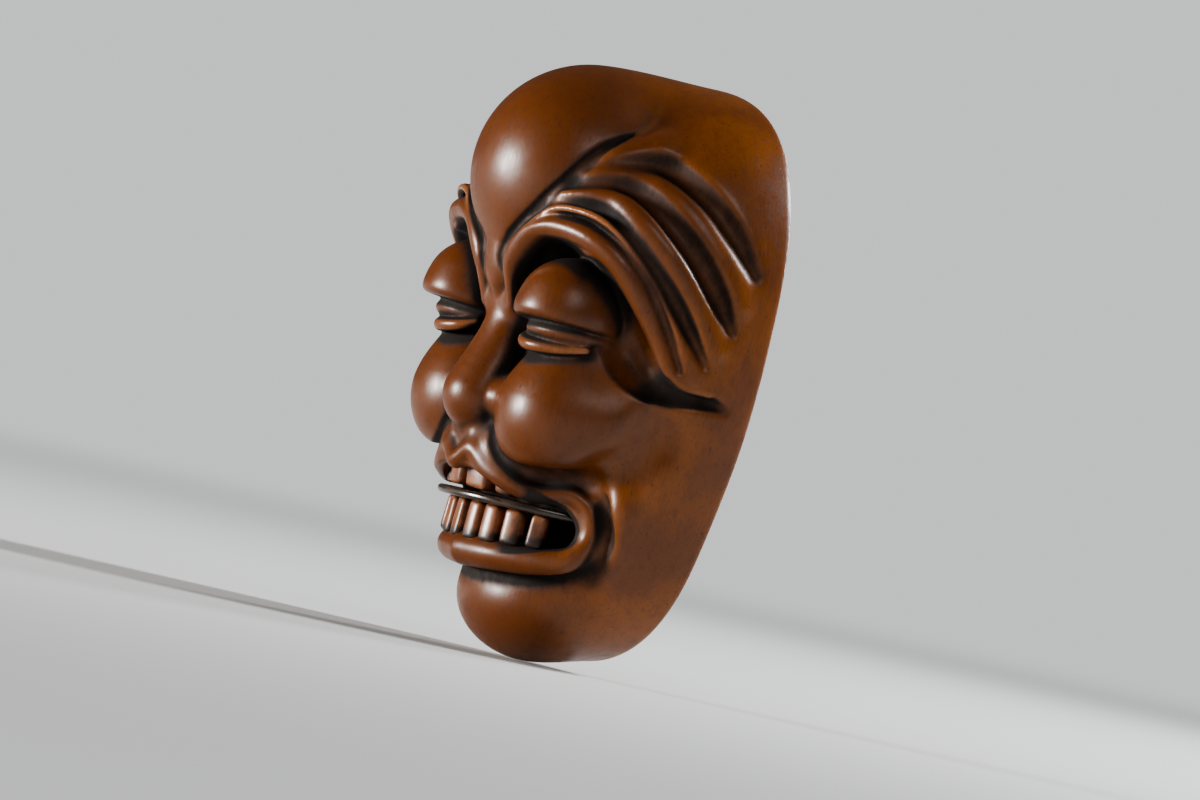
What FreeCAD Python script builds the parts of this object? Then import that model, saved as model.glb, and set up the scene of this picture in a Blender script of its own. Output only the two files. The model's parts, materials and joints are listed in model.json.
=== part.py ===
import FreeCAD, Part
import math
import os

# A hand-sized mask carved in boxwood: a hollow shell with a swollen brow boss, drooping lids and
# full cheeks, teeth pegged one by one into the jaws, a thin tongue let in from behind and a cord
# bar set flush across the open back.
# Frame: millimetres, +Z up, the face looks along -Y, +X is the mask's own left.
# The origin is the centre of the back, on the rear face of the cord bar, in the plane of the rim.

SIZES = {
    # rim and walls
    "rim_width": 40.4, "back_depth": 40.0, "wall": 3.2, "poles_behind": 0.6,
    # cranium: the upper egg of the shell
    "cranium_half_width": 20.2, "cranium_half_depth": 16.4, "cranium_half_height": 21.5,
    "cranium_level": 5.6, "cranium_hollow_depth": 12.4,
    # jaw: the lower egg of the shell
    "jaw_half_width": 17.2, "jaw_half_depth": 14.6, "jaw_half_height": 19.6,
    "jaw_level": -8.7, "jaw_hollow_depth": 7.4,
    # boss: the swelling on the forehead, with the glabella under it
    "boss_half_width": 10.6, "boss_half_depth": 10.8, "boss_half_height": 10.4,
    "boss_aside": 0.0, "boss_forward": 11.6, "boss_level": 16.6,
    "glabella_half_width": 4.8, "glabella_half_depth": 5.2, "glabella_half_height": 7.0,
    "glabella_aside": 0.0, "glabella_forward": 14.4, "glabella_level": 8.8,
    # lids, the rolls under them and the cheeks, one of each on each side
    "lid_half_width": 5.0, "lid_half_depth": 5.2, "lid_half_height": 3.7,
    "lid_aside": 8.7, "lid_forward": 13.8, "lid_level": 5.6,
    "underlid_half_width": 4.6, "underlid_half_depth": 3.6, "underlid_half_height": 1.2,
    "underlid_aside": 8.9, "underlid_forward": 14.2, "underlid_level": 1.0,
    "cheek_half_width": 6.6, "cheek_half_depth": 6.2, "cheek_half_height": 5.9,
    "cheek_aside": 7.8, "cheek_forward": 12.2, "cheek_level": -4.8,
    # nose
    "bridge_half_width": 2.7, "bridge_half_depth": 3.9, "bridge_half_height": 7.6,
    "bridge_aside": 0.0, "bridge_forward": 15.2, "bridge_level": 0.4,
    "tip_half_width": 3.4, "tip_half_depth": 3.6, "tip_half_height": 3.2,
    "tip_aside": 0.0, "tip_forward": 17.2, "tip_level": -5.2,
    "wing_half_width": 1.9, "wing_half_depth": 2.6, "wing_half_height": 2.0,
    "wing_aside": 3.1, "wing_forward": 15.9, "wing_level": -5.9,
    # muzzle with the mouth cut into it, and the chin
    "muzzle_half_width": 12.0, "muzzle_half_depth": 9.2, "muzzle_half_height": 8.8,
    "muzzle_aside": 0.0, "muzzle_forward": 10.8, "muzzle_level": -14.4,
    "mouth_half_width": 9.6, "mouth_half_height": 3.6,
    "mouth_forward": 24.0, "mouth_length": 14.4, "mouth_level": -14.8,
    "chin_half_width": 7.4, "chin_half_depth": 7.0, "chin_half_height": 5.2,
    "chin_aside": 0.0, "chin_forward": 7.4, "chin_level": -22.4,
    # brow folds: tubes bent over each eye
    "inner_fold_thick": 1.3, "middle_fold_thick": 1.5, "outer_fold_thick": 1.4,
    # teeth stand on an arch, an ellipse in plan
    "arch_half_width": 10.0, "arch_half_depth": 8.6, "arch_centre": -7.6,
    "tooth_depth": 1.9, "tooth_edge": 0.35,
    "upper_root_level": -9.4, "upper_tip_level": -13.6,
    "lower_root_level": -19.6, "lower_tip_level": -14.7,
    # tongue: a thin blade on the lower teeth, its edges let into the mouth's corners and its back
    # into the wall behind them
    "tongue_thick": 0.8, "tongue_half_width": 10.4, "tongue_reach": 10.8, "tongue_centre": -7.6,
    "tongue_back": -9.0,
    # cord bar
    "bar_length": 35.4, "bar_height": 4.4, "bar_thick": 3.0, "bar_edge": 1.2,
}

# Where each brow fold runs on the +X side: its inner end, its crown and its outer end.
FOLDS = {
    "inner_fold": ((2.6, -17.0, 5.6), (8.6, -15.9, 12.4), (16.4, -7.6, 0.2)),
    "middle_fold": ((3.6, -16.6, 9.0), (11.6, -12.9, 14.6), (17.0, -7.2, 3.4)),
    "outer_fold": ((7.0, -14.2, 14.0), (14.4, -9.8, 15.4), (17.8, -5.0, 7.8)),
}

# Distance from the middle of the face and width of each tooth of one side, front to back.
UPPER_TEETH = ((1.75, 3.0), (4.9, 2.4), (7.5, 1.7))
LOWER_TEETH = ((1.2, 1.9), (3.5, 1.8), (5.7, 1.7), (7.6, 1.5))

SIDES = {"left": 1, "right": -1}


def make_sheet(doc):
    """Writes every driving size into a spreadsheet cell that carries its name."""
    sheet = doc.addObject("Spreadsheet::Sheet", "Sizes")
    for row, (name, value) in enumerate(SIZES.items(), start=1):
        sheet.set(f"A{row}", name)
        sheet.set(f"B{row}", str(value))
        sheet.setAlias(f"B{row}", name)
    doc.recompute()
    return sheet


def bind(thing, **expressions):
    """Ties properties to spreadsheet cells; a double underscore in a name stands for a dot."""
    for name, expression in expressions.items():
        thing.setExpression(name.replace("__", "."), expression)
    return thing


def seam_behind(ellipsoid):
    """Turns an ellipsoid's seam to the back, where it is buried; its first radius then runs along Y."""
    ellipsoid.Placement.Rotation = FreeCAD.Rotation(FreeCAD.Vector(0, 0, 1), 90)
    return ellipsoid


def bulge(doc, feature, side=1, name=None):
    """An ellipsoid whose half sizes and place are the cells named after the feature."""
    cell = f"Sizes.{feature}"
    sign = "" if side > 0 else "-"
    return bind(
        seam_behind(doc.addObject("Part::Ellipsoid", name or feature)),
        Radius1=f"{cell}_half_height",
        Radius2=f"{cell}_half_depth",
        Radius3=f"{cell}_half_width",
        Placement__Base__x=f"{sign}{cell}_aside",
        Placement__Base__y=f"-{cell}_forward",
        Placement__Base__z=f"{cell}_level",
    )


def paired(doc, feature):
    """The same bulge on the left and on the right of the face."""
    return [bulge(doc, feature, sign, f"{side}_{feature}") for side, sign in SIDES.items()]


def egg(doc, name, part, inset="0 mm", depth="half_depth"):
    """One of the two ellipsoids that make the shell, smaller by an inset where it is the hollow."""
    cell = f"Sizes.{part}"
    return bind(
        seam_behind(doc.addObject("Part::Ellipsoid", name)),
        Radius1=f"{cell}_half_height * 1 mm - {inset}",
        Radius2=f"{cell}_{depth}",
        Radius3=f"{cell}_half_width * 1 mm - {inset}",
        Placement__Base__y="Sizes.poles_behind",
        Placement__Base__z=f"{cell}_level",
    )


def brow_fold(doc, feature, side):
    """A tube along the arc through the fold's three points; its ends are sunk in the face."""
    start, crown, end = (
        FreeCAD.Vector(side * x, y, z) for x, y, z in FOLDS[feature]
    )
    name = f"{feature}_{'left' if side > 0 else 'right'}"
    arc = Part.Arc(start, crown, end)
    spine = doc.addObject("Part::Feature", f"{name}_spine")
    spine.Shape = arc.toShape()
    section = bind(
        doc.addObject("Part::Circle", f"{name}_section"), Radius=f"Sizes.{feature}_thick"
    )
    along = arc.tangent(arc.FirstParameter)[0]
    section.Placement = FreeCAD.Placement(start, FreeCAD.Rotation(FreeCAD.Vector(0, 0, 1), along))
    tube = doc.addObject("Part::Sweep", name)
    tube.Sections = [section]
    tube.Spine = (spine, ["Edge1"])
    tube.Solid = True
    return tube


def fuse(doc, name, pieces):
    """One solid from many."""
    joined = doc.addObject("Part::MultiFuse", name)
    joined.Shapes = pieces
    joined.Refine = False
    return joined


def cut(doc, name, base, tool):
    """The base with the tool's shape taken out of it."""
    left = doc.addObject("Part::Cut", name)
    left.Base = base
    left.Tool = tool
    left.Refine = False
    return left


def make_mouth(doc):
    """The mouth's opening: an upright ellipse drawn in front of the face and run in behind the teeth."""
    outline = bind(
        doc.addObject("Part::Ellipse", "mouth_outline"),
        MajorRadius="Sizes.mouth_half_width",
        MinorRadius="Sizes.mouth_half_height",
        Placement__Base__y="-Sizes.mouth_forward",
        Placement__Base__z="Sizes.mouth_level",
    )
    outline.Placement.Rotation = FreeCAD.Rotation(FreeCAD.Vector(1, 0, 0), 90)
    opening = bind(doc.addObject("Part::Extrusion", "mouth"), LengthFwd="Sizes.mouth_length")
    opening.Base = outline
    opening.DirMode = "Custom"
    opening.Dir = FreeCAD.Vector(0, 1, 0)
    opening.Solid = True
    return opening


def make_teeth(doc, sizes, jaw, teeth, low, high):
    """Every tooth of one jaw: an upright block with rounded edges, turned to follow the arch."""
    made = []
    for side, sign in SIDES.items():
        for number, (aside, width) in enumerate(teeth, start=1):
            label = f"{jaw}_tooth_{side}_{number}"
            share = aside / sizes.arch_half_width
            back = math.sqrt(1 - share * share)
            turn = sign * math.atan2(sizes.arch_half_depth * share, sizes.arch_half_width * back)
            block = doc.addObject("Part::Box", f"{label}_block")
            block.Length = width
            bind(block, Width="Sizes.tooth_depth", Height=f"Sizes.{high} - Sizes.{low}")
            doc.recompute()
            uprights = [
                place
                for place, edge in enumerate(block.Shape.Edges, start=1)
                if abs(edge.tangentAt(edge.FirstParameter).z) > 0.9
            ]
            tooth = doc.addObject("Part::Fillet", label)
            tooth.Base = block
            tooth.Edges = [(place, sizes.tooth_edge, sizes.tooth_edge) for place in uprights]
            middle = FreeCAD.Vector(width / 2, sizes.tooth_depth / 2, 0)
            stand = FreeCAD.Vector(
                sign * aside,
                sizes.arch_centre - sizes.arch_half_depth * back,
                sizes.get(low),
            )
            spin = FreeCAD.Rotation(FreeCAD.Vector(0, 0, 1), math.degrees(turn))
            tooth.Placement = FreeCAD.Placement(stand - spin.multVec(middle), spin)
            made.append(tooth)
    return made


def make_tongue(doc):
    """A flat blade, an ellipse cut straight across behind, as thick as a card."""
    body = doc.addObject("PartDesign::Body", "tongue")
    plane = next(f for f in body.Origin.OriginFeatures if f.Role == "XY_Plane")
    sketch = body.newObject("Sketcher::SketchObject", "tongue_outline")
    sketch.AttachmentSupport = [(plane, "")]
    sketch.MapMode = "FlatFace"
    wide, reach = SIZES["tongue_half_width"], SIZES["tongue_reach"]
    middle, back = SIZES["tongue_centre"], SIZES["tongue_back"]
    # The long half axis of an ellipse is the first one that Part.Ellipse is given.
    ellipse = Part.Ellipse(
        FreeCAD.Vector(0, middle - reach, 0),
        FreeCAD.Vector(wide, middle, 0),
        FreeCAD.Vector(0, middle, 0),
    )
    ends = sorted(
        (
            (ellipse.value(angle).y, angle)
            for angle in (0, math.pi / 2, math.pi, 3 * math.pi / 2)
        ),
        key=lambda found: found[0],
    )
    front = ends[0][1]
    share = math.acos((middle - back) / reach)
    sketch.addGeometry(Part.ArcOfEllipse(ellipse, front - share, front + share), False)
    corner = wide * math.sin(share)
    right, left = FreeCAD.Vector(-corner, back, 0), FreeCAD.Vector(corner, back, 0)
    sketch.addGeometry(Part.LineSegment(left, right), False)
    pad = body.newObject("PartDesign::Pad", "tongue_blade")
    pad.Profile = sketch
    bind(pad, Length="Sizes.tongue_thick")
    bind(body, Placement__Base__z="Sizes.lower_tip_level")
    return body


def make_cord_bar(doc):
    """A flat bar across the back, its front edges rounded for the cord."""
    block = bind(
        doc.addObject("Part::Box", "cord_bar_block"),
        Length="Sizes.bar_length",
        Width="Sizes.bar_thick",
        Height="Sizes.bar_height",
        Placement__Base__x="-Sizes.bar_length / 2",
        Placement__Base__y="-Sizes.bar_thick",
        Placement__Base__z="-Sizes.bar_height / 2",
    )
    doc.recompute()
    front_edges = [
        number
        for number, edge in enumerate(block.Shape.Edges, start=1)
        if abs(edge.tangentAt(edge.FirstParameter).x) > 0.9
        and edge.CenterOfMass.y < -SIZES["bar_thick"] / 2
    ]
    bar = doc.addObject("Part::Fillet", "cord_bar")
    bar.Base = block
    bar.Edges = [(number, SIZES["bar_edge"], SIZES["bar_edge"]) for number in front_edges]
    return bar


def make_mask_shell(doc, inlays):
    """The carved shell: swellings and folds on two eggs, hollowed, with the mouth and inlays' seats cut in."""
    forms = [egg(doc, "cranium", "cranium"), egg(doc, "jaw", "jaw")]
    for feature in ("boss", "glabella", "bridge", "tip", "muzzle", "chin"):
        forms.append(bulge(doc, feature))
    for feature in ("lid", "underlid", "cheek", "wing"):
        forms.extend(paired(doc, feature))
    for feature in FOLDS:
        for side in SIDES.values():
            forms.append(brow_fold(doc, feature, side))
    solid = fuse(doc, "carved_face", forms)
    behind = bind(
        doc.addObject("Part::Box", "behind_the_rim"),
        Length="2 * Sizes.rim_width",
        Width="Sizes.back_depth",
        Height="2 * Sizes.rim_width",
        Placement__Base__x="-Sizes.rim_width",
        Placement__Base__z="-Sizes.rim_width",
    )
    halved = cut(doc, "flat_back", solid, behind)
    wall = "Sizes.wall * 1 mm"
    hollow = fuse(
        doc,
        "hollow",
        [
            egg(doc, "cranium_hollow", "cranium", wall, "hollow_depth"),
            egg(doc, "jaw_hollow", "jaw", wall, "hollow_depth"),
        ],
    )
    hollowed = cut(doc, "hollowed", halved, hollow)
    opened = cut(doc, "opened", hollowed, make_mouth(doc))
    return cut(doc, "mask_shell", opened, fuse(doc, "inlay_seats", inlays))


def check(doc, parts):
    """Stops if any object of the document failed or any part is not one valid solid or more."""
    for thing in doc.Objects:
        faults = [word for word in thing.State if word in ("Invalid", "Error")]
        if faults:
            raise RuntimeError(f"{thing.Label} is {faults}")
    for part in parts:
        shape = part.Shape
        if shape.isNull() or not shape.isValid() or not shape.Solids:
            raise RuntimeError(f"{part.Label} has no valid solid")


def main():
    doc = FreeCAD.newDocument("mask")
    sizes = make_sheet(doc)
    upper = make_teeth(
        doc, sizes, "upper", UPPER_TEETH, "upper_tip_level", "upper_root_level"
    )
    lower = make_teeth(
        doc, sizes, "lower", LOWER_TEETH, "lower_root_level", "lower_tip_level"
    )
    inlays = [*upper, *lower, make_tongue(doc), make_cord_bar(doc)]
    shell = make_mask_shell(doc, inlays)
    doc.recompute()
    parts = [shell, *inlays]
    check(doc, parts)
    os.makedirs("parts", exist_ok=True)
    for part in parts:
        part.Shape.exportStep(f"parts/{part.Label}.step")
        box = part.Shape.BoundBox
        print(
            f"{part.Label:22s} volume {part.Shape.Volume:9.2f} mm3, {len(part.Shape.Solids)} solid(s), "
            f"x {box.XMin:.2f}..{box.XMax:.2f}  y {box.YMin:.2f}..{box.YMax:.2f}  "
            f"z {box.ZMin:.2f}..{box.ZMax:.2f}"
        )


main()
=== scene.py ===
import json
import logging
import math
from dataclasses import dataclass, field
from enum import Enum
from typing import Any, Protocol

import bmesh
import bpy
import numpy as np
import openvdb
from mathutils import Matrix, Vector

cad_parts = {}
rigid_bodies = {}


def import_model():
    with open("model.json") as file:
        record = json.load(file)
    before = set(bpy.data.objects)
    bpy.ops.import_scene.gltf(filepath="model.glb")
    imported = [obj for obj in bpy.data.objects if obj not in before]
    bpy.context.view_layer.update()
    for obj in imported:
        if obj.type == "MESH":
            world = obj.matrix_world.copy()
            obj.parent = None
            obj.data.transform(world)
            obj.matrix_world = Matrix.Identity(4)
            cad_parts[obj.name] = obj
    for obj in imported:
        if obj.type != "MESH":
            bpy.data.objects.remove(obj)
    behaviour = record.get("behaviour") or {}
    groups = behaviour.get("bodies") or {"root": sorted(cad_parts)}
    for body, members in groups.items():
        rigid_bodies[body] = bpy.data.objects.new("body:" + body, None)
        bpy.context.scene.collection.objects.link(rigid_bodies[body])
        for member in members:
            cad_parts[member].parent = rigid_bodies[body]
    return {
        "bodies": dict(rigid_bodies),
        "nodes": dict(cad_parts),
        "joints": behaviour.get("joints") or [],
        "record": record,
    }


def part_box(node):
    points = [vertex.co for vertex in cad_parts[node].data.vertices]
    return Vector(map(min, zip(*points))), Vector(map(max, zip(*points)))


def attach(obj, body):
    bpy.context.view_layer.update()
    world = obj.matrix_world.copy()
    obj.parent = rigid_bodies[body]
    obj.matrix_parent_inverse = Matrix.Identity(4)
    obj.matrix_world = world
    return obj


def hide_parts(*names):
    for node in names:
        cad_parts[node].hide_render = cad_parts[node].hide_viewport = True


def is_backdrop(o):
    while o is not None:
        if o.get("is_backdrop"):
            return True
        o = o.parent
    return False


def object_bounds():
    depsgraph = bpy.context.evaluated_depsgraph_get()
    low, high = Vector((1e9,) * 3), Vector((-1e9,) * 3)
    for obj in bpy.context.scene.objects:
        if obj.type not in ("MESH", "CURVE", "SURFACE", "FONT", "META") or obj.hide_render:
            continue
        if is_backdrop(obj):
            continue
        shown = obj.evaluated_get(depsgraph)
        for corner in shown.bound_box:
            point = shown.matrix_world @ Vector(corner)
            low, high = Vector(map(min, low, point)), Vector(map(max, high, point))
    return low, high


# A hand-sized mask carved in boxwood, with pegged teeth, a thin horn tongue and a cord bar
# behind. Carving sizes are millimetres; the scene is in metres.

MM = 0.001
LOG = logging.getLogger("mask")
Point = tuple[float, float, float]
Colour = tuple[float, float, float, float]
# A path's points are x, y, z and thickness. A line's marks are the degrees round the face from
# straight ahead, the height, how far its middle stands proud of the skin, and its thickness.
Path = tuple[tuple[float, float, float, float], ...]
Marks = tuple[tuple[float, float, float, float], ...]


def smooth_min(first: np.ndarray, second: np.ndarray, blend: Any) -> np.ndarray:
    """Joins two distance fields with a fillet.

    Args:
        first: Distances to one body.
        second: Distances to the other.
        blend: How far the fillet reaches, one number or one for each cell.

    Returns:
        Distances to both bodies as one.
    """
    if np.isscalar(blend) and blend <= 0:
        return np.minimum(first, second)
    share = np.clip(0.5 + 0.5 * (second - first) / blend, 0.0, 1.0)
    return second + (first - second) * share - blend * share * (1.0 - share)


def ease(value: np.ndarray) -> np.ndarray:
    """Makes a smooth step.

    Args:
        value: Any values.

    Returns:
        0 where the value is 0 or less, 1 where it is 1 or more, and a smooth rise between.
    """
    held = np.clip(value, 0.0, 1.0)
    return held * held * (3.0 - 2.0 * held)


class Shape(Protocol):
    """Anything that clay can be added or cut with."""

    def reach(self) -> tuple[np.ndarray, np.ndarray]:
        """Returns the lowest and highest corner."""

    def distance(self, x: np.ndarray, y: np.ndarray, z: np.ndarray) -> np.ndarray:
        """Returns distances from its skin, below zero inside."""


@dataclass(frozen=True)
class Egg:
    """An ellipsoid, squarer than round where its power is above 2, turned by degrees."""

    centre: Point
    radii: Point
    power: float = 2.0
    tilt: float = 0.0
    yaw: float = 0.0

    def reach(self) -> tuple[np.ndarray, np.ndarray]:
        """Returns the lowest and highest corner."""
        middle = np.array(self.centre)
        return middle - max(self.radii), middle + max(self.radii)

    def distance(self, x: np.ndarray, y: np.ndarray, z: np.ndarray) -> np.ndarray:
        """Returns distances from its skin.

        Args:
            x: Places across the face.
            y: Places from front to back.
            z: Places up the face.

        Returns:
            Distances, below zero inside.
        """
        turn = np.array(
            Matrix.Rotation(math.radians(self.yaw), 3, "Z")
            @ Matrix.Rotation(math.radians(self.tilt), 3, "X")
        ).T
        away = (x - self.centre[0], y - self.centre[1], z - self.centre[2])
        if self.tilt or self.yaw:
            away = tuple(row[0] * away[0] + row[1] * away[1] + row[2] * away[2] for row in turn)
        parts = [np.abs(a) / r for a, r in zip(away, self.radii)]
        n = self.power
        size = sum(p**n for p in parts) ** (1.0 / n) + 1e-6
        slope = np.sqrt(sum((p ** (n - 1.0) / r) ** 2 for p, r in zip(parts, self.radii)))
        return (size - 1.0) / (slope / size ** (n - 1.0) + 1e-6)


@dataclass(frozen=True)
class Cord:
    """A round roll of clay along a smooth path, with a radius at each of its points."""

    path: Path
    steps: int = 6

    def fine(self) -> np.ndarray:
        """Smooths the path.

        Returns:
            Points and radii close together along it.
        """
        p = np.array(self.path, float)
        ends = np.vstack([2 * p[0] - p[1], p, 2 * p[-1] - p[-2]])
        made = []
        for i in range(1, len(ends) - 2):
            a, b, c, d = ends[i - 1 : i + 3]
            for s in np.linspace(0, 1, self.steps, endpoint=False):
                bend = (2 * a - 5 * b + 4 * c - d) * s**2 + (3 * b - a - 3 * c + d) * s**3
                made.append(0.5 * (2 * b + (c - a) * s + bend))
        made.append(p[-1])
        return np.array(made)

    def reach(self) -> tuple[np.ndarray, np.ndarray]:
        """Finds how far the roll reaches.

        Returns:
            Its lowest and highest corner.
        """
        p = self.fine()
        thick = max(p[:, 3].max(), 0.0)
        return p[:, :3].min(0) - thick, p[:, :3].max(0) + thick

    def distance(self, x: np.ndarray, y: np.ndarray, z: np.ndarray) -> np.ndarray:
        """Returns distances from its skin.

        Args:
            x: Places across the face.
            y: Places from front to back.
            z: Places up the face.

        Returns:
            Distances, below zero inside.
        """
        nearest = None
        p = self.fine()
        for a, b in zip(p[:-1], p[1:]):
            d = b - a
            size = float(d[:3] @ d[:3]) + 1e-9
            t = np.clip(((x - a[0]) * d[0] + (y - a[1]) * d[1] + (z - a[2]) * d[2]) / size, 0, 1)
            gap = (x - a[0] - t * d[0]) ** 2 + (y - a[1] - t * d[1]) ** 2 + (z - a[2] - t * d[2]) ** 2
            gap = np.sqrt(gap) - (a[3] + t * d[3])
            nearest = gap if nearest is None else np.minimum(nearest, gap)
        return nearest


@dataclass(frozen=True)
class Block:
    """A square-cornered block."""

    centre: Point
    halves: Point

    def reach(self) -> tuple[np.ndarray, np.ndarray]:
        """Returns the lowest and highest corner."""
        middle, halves = np.array(self.centre), np.array(self.halves)
        return middle - halves, middle + halves

    def distance(self, x: np.ndarray, y: np.ndarray, z: np.ndarray) -> np.ndarray:
        """Returns distances from its skin.

        Args:
            x: Places across the face.
            y: Places from front to back.
            z: Places up the face.

        Returns:
            Distances, below zero inside.
        """
        parts = [np.abs(p - c) - h for p, c, h in zip((x, y, z), self.centre, self.halves)]
        outside = np.sqrt(sum(np.maximum(p, 0.0) ** 2 for p in parts))
        inside = np.minimum(np.maximum(np.maximum(parts[0], parts[1]), parts[2]), 0.0)
        return outside + inside


class Clay:
    """Distances on a grid over the +X half of the face; the other half mirrors it."""

    far: float = 60.0  # the distance kept where there is no clay yet
    margin: float = 1.5  # how far past a shape and its fillet the grid is worked
    feel_from: float = 26.0  # a line is felt for from this far out
    feel_to: float = 4.0  # and no nearer the middle than this
    feel_step: float = 0.1
    skin_band: float = 3.0  # how far from the skin distances matter when it is meshed

    def __init__(self, low: Point, high: Point, cell: float) -> None:
        """Starts with no clay.

        Args:
            low: Lowest corner of the grid.
            high: Highest corner of the grid.
            cell: Distance between grid points.
        """
        self.low = np.array(low, float)
        self.cell = cell
        self.count = np.ceil((np.array(high) - low) / cell).astype(int) + 1
        self.axes = [self.low[i] + cell * np.arange(self.count[i], dtype=np.float32) for i in range(3)]
        self.d = np.full(self.count, self.far, np.float32)

    def places(self) -> tuple[np.ndarray, np.ndarray, np.ndarray]:
        """Returns the grid's x, y and z, shaped to spread over the grid."""
        x, y, z = self.axes
        return x[:, None, None], y[None, :, None], z[None, None, :]

    def window(self, shape: Shape, margin: float) -> tuple[tuple[slice, ...], tuple[np.ndarray, ...]]:
        """Finds the part of the grid near a shape.

        Args:
            shape: The shape.
            margin: How far round it to look.

        Returns:
            The grid's slices there, and its x, y and z.
        """
        low, high = shape.reach()
        first = np.clip(np.floor((low - margin - self.low) / self.cell), 0, self.count).astype(int)
        last = np.clip(np.ceil((high + margin - self.low) / self.cell) + 1, 0, self.count).astype(int)
        part = tuple(slice(a, b) for a, b in zip(first, last))
        x, y, z = (axis[s] for axis, s in zip(self.axes, part))
        return part, (x[:, None, None], y[None, :, None], z[None, None, :])

    def add(self, shape: Shape, fillet: float = 0.0) -> None:
        """Adds a shape.

        Args:
            shape: The shape.
            fillet: How far the fillet reaches where it meets the clay.
        """
        part, spots = self.window(shape, fillet + self.margin)
        self.d[part] = smooth_min(self.d[part], shape.distance(*spots).astype(np.float32), fillet)

    def cut(self, shape: Shape, fillet: float = 0.0) -> None:
        """Cuts a shape away.

        Args:
            shape: The shape.
            fillet: How far its edges are rounded.
        """
        part, spots = self.window(shape, fillet + self.margin)
        self.d[part] = -smooth_min(-self.d[part], shape.distance(*spots).astype(np.float32), fillet)

    def take(self, distance: np.ndarray, fillet: float) -> None:
        """Cuts away everything inside a field of distances over the whole grid.

        Args:
            distance: The field, below zero inside.
            fillet: How far its edges are rounded.
        """
        spread = distance * np.ones_like(self.d)
        self.d = -smooth_min(-self.d, spread.astype(np.float32), fillet)

    def press(self, cord: Cord, depth: float, width: float) -> None:
        """Presses the skin softly along a cord.

        Args:
            cord: The cord.
            depth: How far the skin is lowered, or raised where it is below zero.
            width: How wide the soft trough is to each side.
        """
        part, spots = self.window(cord, width * 2.5)
        away = np.maximum(cord.distance(*spots), 0.0) / width
        self.d[part] += (depth * np.exp(-away * away)).astype(np.float32)

    def lay(self, marks: Marks) -> Cord:
        """Lays a line on the skin, as thread is laid round a head.

        Args:
            marks: The line's marks.

        Returns:
            The line as a roll, its place on the skin found by feeling inwards from outside.
        """
        turn, level, proud, thick = Cord(marks).fine().T
        aim = np.stack([np.sin(np.radians(turn)), -np.cos(np.radians(turn))], 1)
        reach = np.arange(self.feel_from, self.feel_to, -self.feel_step)
        spots = np.empty((len(turn), len(reach), 3))
        spots[:, :, :2] = aim[:, None, :] * reach[None, :, None]
        spots[:, :, 2] = level[:, None]
        inside = self.sample(spots.reshape(-1, 3)).reshape(len(turn), -1) < 0.0
        found = reach[np.argmax(inside, axis=1)]
        found = np.convolve(np.pad(found, 1, mode="edge"), (0.25, 0.5, 0.25), mode="valid")
        across = aim * (found + proud)[:, None]
        return Cord(tuple(map(tuple, np.column_stack([across, level, thick]))), steps=1)

    def soften(self) -> None:
        """Rubs down creases narrower than a cell or two, along each axis in turn."""
        for axis in range(3):
            rolled = np.moveaxis(self.d, axis, 0)
            rolled[1:-1] = 0.25 * rolled[:-2] + 0.5 * rolled[1:-1] + 0.25 * rolled[2:]

    def sample(self, spots: np.ndarray) -> np.ndarray:
        """Reads distances between the grid's points.

        Args:
            spots: Points in millimetres, on either half.

        Returns:
            A distance for each.
        """
        q = (np.stack([np.abs(spots[:, 0]), spots[:, 1], spots[:, 2]], 1) - self.low) / self.cell
        q = np.clip(q, 0, self.count - 1.001)
        i = q.astype(int)
        f = q - i
        found = np.zeros(len(spots))
        for corner in np.ndindex(2, 2, 2):
            share = np.prod(np.where(corner, f, 1.0 - f), axis=1)
            found += share * self.d[i[:, 0] + corner[0], i[:, 1] + corner[1], i[:, 2] + corner[2]]
        return found

    def outward(self, spots: np.ndarray) -> np.ndarray:
        """Finds the way out of the clay.

        Args:
            spots: Points in millimetres.

        Returns:
            A unit direction for each.
        """
        step = 1.2 * self.cell
        sides = [self.sample(spots + o) - self.sample(spots - o) for o in np.eye(3) * step]
        n = np.stack(sides, 1)
        return n / (np.linalg.norm(n, axis=1, keepdims=True) + 1e-9)

    def skin(self) -> tuple[np.ndarray, np.ndarray]:
        """Meshes the clay's whole skin, both halves.

        Returns:
            Its points in millimetres, and its four-sided faces.
        """
        middle = int(round(-self.low[0] / self.cell))
        whole = np.concatenate([self.d[middle + 1 :][::-1], self.d[middle:]], axis=0)
        grid = openvdb.FloatGrid(self.skin_band)
        grid.copyFromArray(np.clip(whole, -self.skin_band, self.skin_band).astype(np.float32))
        points, faces = grid.convertToQuads(0.0)
        start = np.array([-self.cell * (self.count[0] - 1 - middle), self.low[1], self.low[2]])
        spots = points.astype(float) * self.cell + start
        for _ in range(2):
            spots -= self.outward(spots) * self.sample(spots)[:, None] * 0.9
        return spots, faces


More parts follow.
